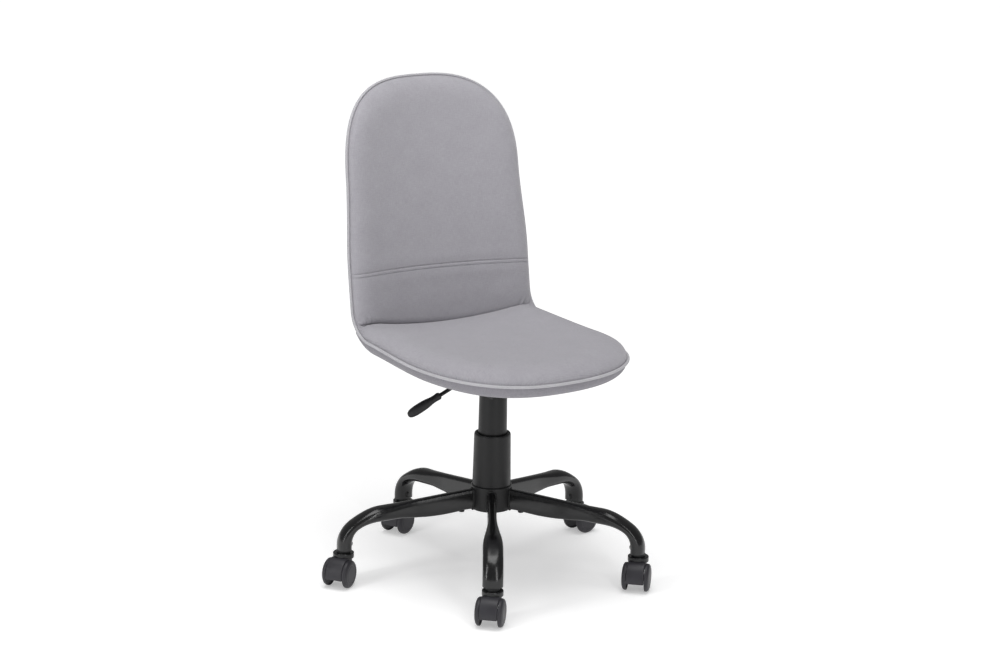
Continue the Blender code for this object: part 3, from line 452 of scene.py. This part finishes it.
stitch_half, thread_radius = 0.0016, 0.00028
stitch_u = np.arange(-43, 44) * stitch_pitch
lift = np.linspace(-1, 1, 7)
along_u = stitch_u[:, None] + stitch_half * lift
stitch_s = seam_at - stitch_below + seam_bow(seam_at - stitch_below, along_u)
rim = from_rim(stitch_s, along_u, edge_inset)
stitch_n = foam_height(rim, back_crown, back_edge) + 0.0003 - 0.0009 * lift ** 4
spines = on_shell(stitch_s, along_u, stitch_n)
forward = np.array([0.0, -math.sin(bend_turn), math.cos(bend_turn)])
threads = [capped(carried(spine, np.array([0.0, 0.0, 1.0]), forward, thread_radius, thread_radius, count=8))
           for spine in spines]
# Bonded thread: close, slightly shiny, a shade darker than the cloth.
thread = speckled("bonded_thread", "#85858B", "#97979D", 0.0006, (0.5, 0.65), 0.0001)
fit("lumbar_topstitch", build("lumbar_topstitch", *threads), "seat", thread, "fabric")


# ---------------------------------------------------------------- piping
# A soft 5 mm cord wrapped in a bias-cut strip of the same cloth. It is sewn in all round
# the board's edge, between the front and the rear covers.
piping_radius = 0.0026
run = shell_run * (0.5 - 0.5 * np.cos(np.linspace(0, math.pi, 181)))    # closest together at both ends
half = half_outline(run, 0.0)
loop = np.concatenate([on_shell(run, half, 0 * run), on_shell(run[1:-1], -half[1:-1], 0 * run[1:-1])[::-1]])
loop = np.vstack([loop, loop[:1]])
round_loop = np.concatenate([[0.0], np.cumsum(np.linalg.norm(np.diff(loop, axis=0), axis=1))])
ahead = np.roll(loop[:-1], -1, 0) - np.roll(loop[:-1], 1, 0)
ahead = np.vstack([ahead, ahead[:1]])
ahead /= np.linalg.norm(ahead, axis=1, keepdims=True)
lead = np.cross(ahead, np.array([1.0, 0.3, 0.2]))            # any direction the cord never runs in
lead /= np.linalg.norm(lead, axis=1, keepdims=True)
round_it = np.cross(lead, ahead)
cord = carried(loop, lead, round_it, piping_radius, piping_radius, count=16)
girth = np.linspace(0, 2 * math.pi * piping_radius, 17)
on_bias = 0.7 * round_loop[:, None]                          # threads at 45 degrees to the cord
uv = np.stack([on_bias + girth[None], on_bias - girth[None]], -1)
# The grey polyester again, stretched round the cord, which opens it and makes it look a little lighter.
welt_cloth = woven("bias_cut_weave", "#ACABAF", "#BDBCC0", 0.0012, 0.0002)
fit("rim_piping", build("rim_piping", cord, uv=uv), "seat", welt_cloth, "piping_fabric", "edge_piping")


# ---------------------------------------------------------------- seat underside and back rear
# Two covers over thin foam, stapled to the board: a deep soft band under the seat, of the cushions' cloth
# drawn darker as painted shade, and a flatter panel of the cushions' cloth behind the back. They meet in a
# closed seam behind the bend.
def cover_depth(rim, to_seam, deep, edge):
    """How far a cover stands out behind the board: 1 mm at the rim and a little more at the seam behind
    the bend, then deep more once it is edge in from both."""
    return 0.0010 + deep * swell(np.minimum(rim, 0.004 + 1.2 * to_seam), edge)


s, u = pad_grid(seat_rows, pad_columns, edge_inset)
rim = from_rim(s, u, edge_inset)
# The nose alone has a roll of foam 2.2 mm deeper, which fades out over the next 100 mm.
roll = 0.0022 * np.sin(math.pi * np.clip(rim / 0.060, 0, 1)) * (1 - ease((s - 0.02) / 0.10))
depth = cover_depth(rim, crease - s, 0.0213, 0.026) + roll
under = pad("seat_underside", s, u, -inner_face(rim, depth), -depth)
# The cushions' polyester in a slightly tighter weave, its colour darkened as painted shade for a band that
# faces the floor.
underside_cloth_painted_shade = woven("dark_underside_weave", "#7D7B81", "#8D8B91", 0.0012, 0.0002)
fit("seat_underside", under, "seat", underside_cloth_painted_shade, "fabric", "seat_under_cover")

s, u = pad_grid(back_rows, pad_columns, edge_inset)
rim = from_rim(s, u, edge_inset)
depth = cover_depth(rim, s - crease, 0.0140, 0.045)
rear_panel = pad("back_rear_panel", s, u, -inner_face(rim, depth), -depth)
fit("back_rear_panel", rear_panel, "seat", upholstery, "fabric", "back_rear_cover")


# ---------------------------------------------------------------- seat plate and lift housing
# A plate and a folded channel of 2.5-3 mm steel, welded together with the taper socket and powder
# coated. Four zinc-plated bolts hold them up against the board.
# Powder coat: satin black with a faint orange peel of 1.5 mm.
powder = speckled("black_powder_coat", "#0F0F10", "#141415", 0.0015, (0.36, 0.46), 0.00006,
                  Specular_IOR_Level=0.3)
dress(powder, "black_steel", "seat_plate", "lever_housing")
# Zinc plate: pale, slightly blue, brushed-looking.
zinc = speckled("zinc_plated_steel", "#A9ABAE", "#BDBFC2", 0.002, (0.28, 0.4), 0.00003, Metallic=1.0)
dress(zinc, "zinc_steel", *[f"mechanism_bolt_{i}" for i in range(1, 5)],
      *[f"castor_{part}_{i}" for part in ("stem", "axle") for i in range(1, 6)])


# ---------------------------------------------------------------- gas spring and its tube
# Bought-in parts, nearly hidden by the covers: a drawn steel cylinder that slides in a plastic bush at
# the top of a steel tube, on a chromed rod that is clipped to the tube's foot over a thrust bearing.
# Ground and hard-chromed steel: bright, with very fine turning marks.
chrome = speckled("hard_chrome", "#C9CACC", "#D6D7D9", 0.0008, (0.1, 0.18), 0.00001, Metallic=1.0)
dress(chrome, "bright_steel", "piston_rod", "rod_clip", "release_button", "thrust_bearing")
dress(powder, "black_tube", "gas_cylinder", "stand_tube")
# Natural acetal: milky white and waxy.
acetal = speckled("natural_acetal", "#DEDCD2", "#E8E6DD", 0.003, (0.35, 0.45), 0.00002)
dress(acetal, "white_acetal", "guide_bush")
# Moulded rubber: dull black with a grey bloom.
rubber = speckled("black_rubber", "#161616", "#202020", 0.002, (0.75, 0.9), 0.00005)
dress(rubber, "rubber", "rubber_bumper")


# ---------------------------------------------------------------- telescopic column covers
# Two thin moulded polypropylene sleeves with draft: the upper hangs on the socket and slides inside
# the lower, which stands on the hub with an inward lip at its rim.
def rounded(corners, radius, steps=6):
    """A profile with its inner corners rounded: each corner C becomes the curve
    (1-t)^2 A + 2t(1-t) C + t^2 B between points A and B a radius away from it on its two sides."""
    corners = np.asarray(corners, float)
    before, here, after = corners[:-2], corners[1:-1], corners[2:]
    radius = np.broadcast_to(radius, (len(here),))[:, None]
    to_a, to_b = before - here, after - here
    long_a, long_b = (np.linalg.norm(v, axis=1, keepdims=True) for v in (to_a, to_b))
    a = here + to_a * np.minimum(radius / long_a, 0.45)
    b = here + to_b * np.minimum(radius / long_b, 0.45)
    t = np.linspace(0, 1, steps)[None, :, None]
    curve = (1 - t) ** 2 * a[:, None] + 2 * t * (1 - t) * here[:, None] + t ** 2 * b[:, None]
    return np.concatenate([corners[:1], curve.reshape(-1, 2), corners[-1:]])


def turned(profile, centre=column, steps=96):
    """A profile of (radius, z) turned about the vertical axis through centre."""
    angle = np.linspace(0, 2 * math.pi, steps, endpoint=False)
    r, z = profile[:, :1], profile[:, 1:]
    x, y = centre[0] + r * np.cos(angle), centre[1] + r * np.sin(angle)
    return np.stack([x, y, centre[2] + z + 0 * angle], -1)


# Black polypropylene with a fine spark-eroded grain, which scatters the light into a soft sheen.
cover_black = speckled("grained_black_polypropylene", "#121213", "#171718", 0.0009, (0.38, 0.48), 0.00005,
                       Specular_IOR_Level=0.3)
# Upper sleeve, as (radius, z): the flange on the socket, down the outside, and back up the inside.
upper_cover = rounded([(0.0184, 0.3365), (0.0184, 0.3377), (0.02485, 0.3377), (0.0262, 0.2290),
                       (0.0250, 0.2290), (0.02365, 0.3365), (0.0184, 0.3365)],
                      (0.0004, 0.0012, 0.0005, 0.0003, 0.0008))
fit("upper_column_sleeve", build("upper_column_sleeve", turned(upper_cover)), "seat", cover_black,
    "black_plastic", "upper_column_cover")
# Lower sleeve: from its foot on the hub up the outside, round the inward lip, and down the inside.
lower_cover = rounded([(0.0333, 0.1639), (0.0345, 0.1639), (0.0341, 0.1840), (0.0329, 0.2560),
                       (0.0318, 0.2595), (0.0270, 0.2590), (0.0270, 0.2572), (0.0310, 0.2570),
                       (0.0317, 0.2540), (0.0333, 0.1639)],
                      (0.0004, 0.004, 0.0012, 0.0016, 0.0006, 0.0004, 0.0006, 0.001))
fit("lower_column_sleeve", build("lower_column_sleeve", turned(lower_cover)), "base", cover_black,
    "black_plastic", "lower_column_cover")


# ---------------------------------------------------------------- lift lever
# A 7 mm steel wire that tips on its pivot in the housing and is bent down 22 degrees outside it. A
# moulded plastic paddle is pushed over its end.
wire_z = joints["lever_tip"]["pos_m"][2]
wire_radius, bend_x, grip_x, wire_bend = 0.0035, -0.0530, -0.1145, 0.012
drop = math.radians(22.4)
slope = np.array([-math.cos(drop), 0.0, -math.sin(drop)])
bend_at = column + (bend_x, 0.0, wire_z)
grip_from = bend_at + slope * ((bend_x - grip_x) / math.cos(drop))
turn = np.linspace(0, drop, 12)
elbow = wire_bend * np.stack([-np.sin(turn), 0 * turn, np.cos(turn) - 1], -1)
elbow = elbow + bend_at + (wire_bend * math.tan(drop / 2), 0.0, 0.0)
# It starts 4.5 mm past the column's axis, over the release button, and ends 12 mm inside the paddle.
wire = np.vstack([column + (0.0045, 0.0, wire_z), column + (-0.03, 0.0, wire_z), elbow,
                  grip_from + slope * np.array([[0.0], [0.012]])])
ahead = np.gradient(wire, axis=0)
ahead /= np.linalg.norm(ahead, axis=1, keepdims=True)
side = np.array([0.0, 1.0, 0.0])
rod = capped(carried(wire, side, np.cross(side, ahead), wire_radius, wire_radius))
fit("lever_wire", build("lever_wire", rod), "lever", powder, "black_steel", "lever_rod")

# Paddle: stations along it, half widths and half thicknesses, on smooth curves between.
paddle_long = 0.0715
station = np.array([0.0, 0.0006, 0.0016, 0.0100, 0.0175, 0.0300, 0.0460, 0.0600, 0.0675, 0.0708, paddle_long])
wide = np.array([0.0042, 0.0049, 0.0053, 0.0053, 0.0053, 0.0060, 0.0063, 0.0059, 0.0045, 0.0023, 0.0008])
tall = np.array([0.0050, 0.0057, 0.0062, 0.0062, 0.0064, 0.0083, 0.0090, 0.0083, 0.0062, 0.0031, 0.0011])
reach = paddle_long * (0.5 - 0.5 * np.cos(np.linspace(0, math.pi, 60)))


def smooth_between(x, xs, ys):
    """Values at x on a curve through (xs, ys): cubic Hermite pieces whose slopes are centred differences."""
    slopes = np.gradient(ys, xs)
    i = np.clip(np.searchsorted(xs, x) - 1, 0, len(xs) - 2)
    h = xs[i + 1] - xs[i]
    t = (x - xs[i]) / h
    return ((2 * t ** 3 - 3 * t ** 2 + 1) * ys[i] + (t ** 3 - 2 * t ** 2 + t) * h * slopes[i]
            + (3 * t ** 2 - 2 * t ** 3) * ys[i + 1] + (t ** 3 - t ** 2) * h * slopes[i + 1])


spine = grip_from + slope * reach[:, None]
paddle = carried(spine, side, np.cross(side, slope), smooth_between(reach, station, wide),
                 smooth_between(reach, station, tall), power=2.4, count=48)
# Soft black polypropylene, matt and slightly worn at the tip.
grip_black = speckled("matt_black_grip", "#131314", "#19191B", 0.0012, (0.4, 0.55), 0.00006,
                      Specular_IOR_Level=0.35)
fit("lever_paddle", build("lever_paddle", capped(paddle)), "lever", grip_black, "black_plastic",
    "lever_handle")


# ---------------------------------------------------------------- base hub
# A short length of heavy steel tube with its edges turned round, powder coated. The arms are welded
# round it and the stand tube is pressed into it.
hub_bore, hub_radius, hub_low, hub_high = 0.0230, 0.0366, 0.1186, 0.1636
hub_profile = rounded([(hub_bore, hub_low), (hub_radius, hub_low), (hub_radius, hub_high),
                       (hub_bore, hub_high), (hub_bore, hub_low)], (0.0022, 0.0026, 0.0008))
fit("hub_ring", build("hub_ring", turned(hub_profile, steps=128)), "base", powder, "black_steel", "base_hub")


# ---------------------------------------------------------------- base arms
# Five round steel tubes, each pressed flat and upright at the hub, swept, and bent down to its castor.
# They are welded round the hub, and then sprayed with black enamel and baked.
arm_root, arm_end = (0.0370, 0.1380), (0.2742, 0.0647)       # (radius, z) on the arm's centre line
arm_fall, arm_knee = np.radians([4.5, 33.0])
sweep_radius, elbow_radius, tube_wall = 0.105, 0.0437, 0.0016


def arm_centre_line():
    """(radius, z, slope angle): a straight, an arc to the knee, a tighter arc to straight down. On an
    arc of radius R the radius grows by R(sin b - sin a) and z falls by R(cos a - cos b)."""
    start_r = (arm_end[0] - sweep_radius * (math.sin(arm_knee) - math.sin(arm_fall))
               - elbow_radius * (1 - math.sin(arm_knee)))
    straight = np.linspace(arm_root[0] - 0.004, start_r, 30)
    a, b = np.linspace(arm_fall, arm_knee, 16)[1:], np.linspace(arm_knee, math.pi / 2, 28)[1:]
    z0 = arm_root[1] - (straight - arm_root[0]) * math.tan(arm_fall)
    r1 = start_r + sweep_radius * (np.sin(a) - math.sin(arm_fall))
    z1 = z0[-1] - sweep_radius * (math.cos(arm_fall) - np.cos(a))
    r2 = r1[-1] + elbow_radius * (np.sin(b) - math.sin(arm_knee))
    z2 = z1[-1] - elbow_radius * (math.cos(arm_knee) - np.cos(b))
    z3 = np.linspace(z2[-1], arm_end[1], 8)[1:]
    r = np.concatenate([straight, r1, r2, 0 * z3 + arm_end[0]])
    slope_angle = np.concatenate([0 * straight + arm_fall, a, b, 0 * z3 + math.pi / 2])
    return r, np.concatenate([z0, z1, z2, z3]), slope_angle


def arm_section(r, slope):
    """Half width, half height, squareness and belly. The width is 17 mm up to a radius of 135 mm and
    eases out to 36 mm over the next 100 mm. The height falls from 38 mm to 27 mm, to 20 mm at the knee
    and comes back to 26 mm at the end. The belly hangs the underside lower between 50 and 170 mm."""
    flare = ease((r - 0.135) / 0.100)
    share = np.clip((r - arm_root[0]) / 0.143, 0, 1)
    thin = ease((slope - arm_fall) / (arm_knee - arm_fall))
    grow = ease((slope - arm_knee) / (math.pi / 2 - arm_knee))
    belly = 0.0022 * np.sin(math.pi * np.clip((r - 0.050) / 0.120, 0, 1))
    tall = 0.0190 - 0.0053 * share - 0.0038 * thin + 0.0029 * grow + belly
    return 0.0085 + 0.0095 * flare, tall, 3.4 - 1.2 * flare, belly


def arm_frame(heading):
    """Unit vectors along and across an arm that points heading round from -Y."""
    c, q = math.cos(heading), math.sin(heading)
    return np.array([q, -c, 0.0]), np.array([c, q, 0.0])


line_r, line_z, line_slope = arm_centre_line()
arm_wide, arm_tall, arm_power, arm_belly = arm_section(line_r, line_slope)
line_z = line_z - arm_belly
# Black enamel, sprayed and baked: a soft gloss with a long orange peel and a few duller patches.
enamel = speckled("gloss_black_enamel", "#0D0D0E", "#121213", 0.006, (0.17, 0.27), 0.0001,
                  Specular_IOR_Level=0.5)
up = np.array([0.0, 0.0, 1.0])
arm_turns = []
for number in range(1, 6):
    stem = np.array(joints[f"castor_swivel_{number}"]["pos_m"]) - column
    arm_turns.append(math.atan2(stem[0], -stem[1]))
for number, heading in enumerate(arm_turns, 1):
    out, across = arm_frame(heading)
    centre = column + line_r[:, None] * out + line_z[:, None] * up
    normal = np.cos(line_slope)[:, None] * up + np.sin(line_slope)[:, None] * out
    outer = carried(centre, across, normal, arm_wide, arm_tall, arm_power, count=56)
    inner = carried(centre, across, normal, arm_wide - tube_wall, arm_tall - tube_wall, arm_power, count=56)
    tube = np.concatenate([outer, inner[::-1], outer[:1]])
    fit(f"arm_tube_{number}", build(f"arm_tube_{number}", tube), "base", enamel, "black_enamel",
        f"base_arm_{number}")

# Weld beads: a fillet about 2 mm thick all round each arm where it meets the hub. It follows a
# superellipse of power 3.2, close to the arm's section, on the hub's curve, and its thickness ripples.
bead_wide, bead_tall, bead_power = 0.0090, 0.0193, 3.2
beads = []
ring = np.linspace(0, 2 * math.pi, 72)
wire_turn = np.linspace(0, 2 * math.pi, 12, endpoint=False)
for heading in arm_turns:
    out, across = arm_frame(heading)
    c, q = np.cos(ring), np.sin(ring)
    x = np.sign(c) * np.abs(c) ** (2 / bead_power) * bead_wide
    y = np.sign(q) * np.abs(q) ** (2 / bead_power) * bead_tall
    away = np.stack([c, q], -1)
    thick = 0.0019 + 0.0003 * np.sin(9 * ring)
    reach_x = x[:, None] + away[:, :1] * thick[:, None] * np.cos(wire_turn)
    reach_y = y[:, None] + away[:, 1:] * thick[:, None] * np.cos(wire_turn)
    reach_r = np.sqrt(hub_radius ** 2 - x ** 2)[:, None] + thick[:, None] * np.sin(wire_turn)
    beads.append(column + reach_r[..., None] * out + reach_x[..., None] * across
                 + (arm_root[1] + reach_y)[..., None] * up)
fit("arm_welds", build("arm_welds", *beads), "base", powder, "black_steel")

# The castor sockets' catches: a moulded bump that springs out through each tube's inner wall, half an
# ellipsoid 3.6 mm proud, 9.2 mm wide and 11.2 mm high.
steps, sides = np.linspace(0.02, math.pi / 2, 12), np.linspace(0, 2 * math.pi, 40, endpoint=False)
catch_r, catch_z = arm_end[0] - 0.0118, 0.0735
catches = []
for heading in arm_turns:
    out, across = arm_frame(heading)
    spot = column + catch_r * out + catch_z * up
    dome = (spot - 0.0036 * np.cos(steps)[:, None, None] * out
            + 0.0046 * np.sin(steps)[:, None, None] * np.cos(sides)[:, None] * across
            + 0.0056 * np.sin(steps)[:, None, None] * np.sin(sides)[:, None] * up)
    catches.append(capped(dome))
fit("socket_catches", build("socket_catches", *catches), "base", cover_black, "black_plastic")

# Under each arm near the hub is a small black plug in the tube's drain hole.
plug = rounded([(0, 0.0062), (0.0055, 0.0062), (0.0055, 0.0008), (0.0040, 0.0), (0, 0.0)],
               (0.0004, 0.0012, 0.0012))
plug_r, plug_z = 0.056, 0.1146
plugs = [turned(plug, column + plug_r * arm_frame(heading)[0] + plug_z * up, 32) for heading in arm_turns]
fit("arm_plugs", build("arm_plugs", *plugs), "base", cover_black, "black_plastic")


# ---------------------------------------------------------------- castors
# Twin-wheel castors moulded in grey-black nylon: a curved hood over an axle web, a glossier collar
# round the stem, and two thin wheels whose faces cover the hood's ends.
trail, wheel_radius = 0.0165, 0.0250
# Nylon: matt, with a faint grey bloom and a fine moulded grain.
nylon = speckled("grey_black_nylon", "#2A292D", "#323136", 0.0012, (0.38, 0.5), 0.00005,
                 Specular_IOR_Level=0.35)
# The collar is a blacker and glossier nylon than the hood, and catches small highlights.
collar_black = speckled("glossy_black_nylon", "#121213", "#171718", 0.002, (0.18, 0.28), 0.00003,
                        Specular_IOR_Level=0.4)
dress(cover_black, "black_plastic", *[f"castor_socket_{i}" for i in range(1, 6)])


def stood(grid, stem_at, facing):
    """Turn a castor part from its own frame, trail along +X, to face the given way, and put it at its
    stem."""
    c, q = math.cos(facing), math.sin(facing)
    x, y = grid[..., 0] * c - grid[..., 1] * q, grid[..., 0] * q + grid[..., 1] * c
    return np.stack([x + stem_at[0], y + stem_at[1], grid[..., 2]], -1)


def wheel_grid(profile, steps=72):
    """A profile of (radius, y) turned about the axle."""
    angle = np.linspace(0, 2 * math.pi, steps, endpoint=False)
    r, y = profile[:, :1], profile[:, 1:]
    return np.stack([trail + r * np.sin(angle), y + 0 * angle, wheel_radius + r * np.cos(angle)], -1)


def swept_wall(low, high, angles, half, rise=0.0):
    """A wall between two radii about the axle: its rounded rectangle section is carried round the
    angles, capped at both ends, and raised by rise*sin^2 of the angle above the axle."""
    box = rounded([(low, 0), (low, half), (high, half), (high, -half), (low, -half), (low, 0)],
                  (0.0006, 0.0022, 0.0022, 0.0006), 5)[:-1]
    c, q = np.cos(angles)[:, None], np.sin(angles)[:, None]
    r, y = box[None, :, 0], box[None, :, 1]
    wall = np.stack([trail + r * c, y + 0 * c, wheel_radius + r * q + rise * np.maximum(q, 0) ** 2], -1)
    return capped(wall)


def hood_grids():
    """The hood's wall, 3.8 mm thick, carried from 16 degrees below the axle's level round to 142 degrees;
    the 10 mm web below it; the axle's boss; and the neck, an ellipse that lengthens as it flows up from
    the wall into the collar."""
    wall = swept_wall(0.0216, 0.0254, np.radians(np.linspace(-16, 142, 60)), 0.0159, rise=0.0020)
    web = swept_wall(0.0052, 0.0225, np.radians(np.linspace(-8, 135, 30)), 0.0050)
    boss = rounded([(0.0, -0.0150), (0.0062, -0.0150), (0.0062, 0.0150), (0.0, 0.0150)], 0.0008)
    level = np.linspace(0, 1, 16)
    z = 0.0370 + 0.0126 * level
    centre = np.stack([0.0020 * (1 - level), 0 * z, z], -1)
    neck = capped(carried(centre, np.array([1.0, 0, 0]), np.array([0, 1.0, 0]), 0.0150 + 0.0012 * level,
                          0.0155 + 0 * level, 2.2, count=48))
    return [wall, web, wheel_grid(boss, 32), neck]


# The collar, as (radius, z): its underside, chamfered edges, and the shallow step in its top.
collar = rounded([(0.0, 0.0492), (0.0180, 0.0492), (0.0188, 0.0500), (0.0188, 0.0584),
                  (0.0178, 0.0594), (0.0060, 0.0594), (0.0060, 0.0582), (0.0, 0.0582)],
                 (0.0006, 0.0006, 0.0008, 0.001, 0.0002, 0.0002))
# A wheel, as (radius, y): the outer face with its fine groove, the tread, and the hollowed inner face.
wheel = rounded([(0.0, 0.0246), (0.0150, 0.0246), (0.0156, 0.0242), (0.0166, 0.0242),
                 (0.0172, 0.0246), (0.0190, 0.0245), (0.0228, 0.0232), (0.0250, 0.0205),
                 (0.0250, 0.0163), (0.0236, 0.0163), (0.0226, 0.0190), (0.0100, 0.0200),
                 (0.0090, 0.0163), (0.0066, 0.0163), (0.0066, 0.0190), (0.0, 0.0190)],
                (0.0006, 0.0003, 0.0003, 0.0006, 0.002, 0.002, 0.002,
                 0.0008, 0.0005, 0.001, 0.001, 0.0005, 0.0003, 0.0003), 5)
for number in range(1, 6):
    stem = np.array(joints[f"castor_swivel_{number}"]["pos_m"])
    axle = np.array(joints[f"wheel_left_spin_{number}"]["pos_m"])
    facing = math.atan2(axle[1] - stem[1], axle[0] - stem[0])
    hood = [stood(grid, stem, facing) for grid in hood_grids()]
    fit(f"hood_{number}", build(f"hood_{number}", *hood), f"castor_{number}", nylon, "grey_plastic",
        f"castor_hood_{number}")
    ring = stood(turned(collar, np.zeros(3), 64), stem, facing)
    fit(f"stem_collar_{number}", build(f"stem_collar_{number}", ring), f"castor_{number}", collar_black,
        "black_plastic")
    for sign, label in ((1, "left"), (-1, "right")):
        disc = stood(wheel_grid(wheel * (1, sign)), stem, facing)
        fit(f"wheel_{label}_{number}", build(f"wheel_{label}_{number}", disc), f"wheel_{label}_{number}",
            nylon, "grey_plastic", f"castor_wheel_{label}_{number}")
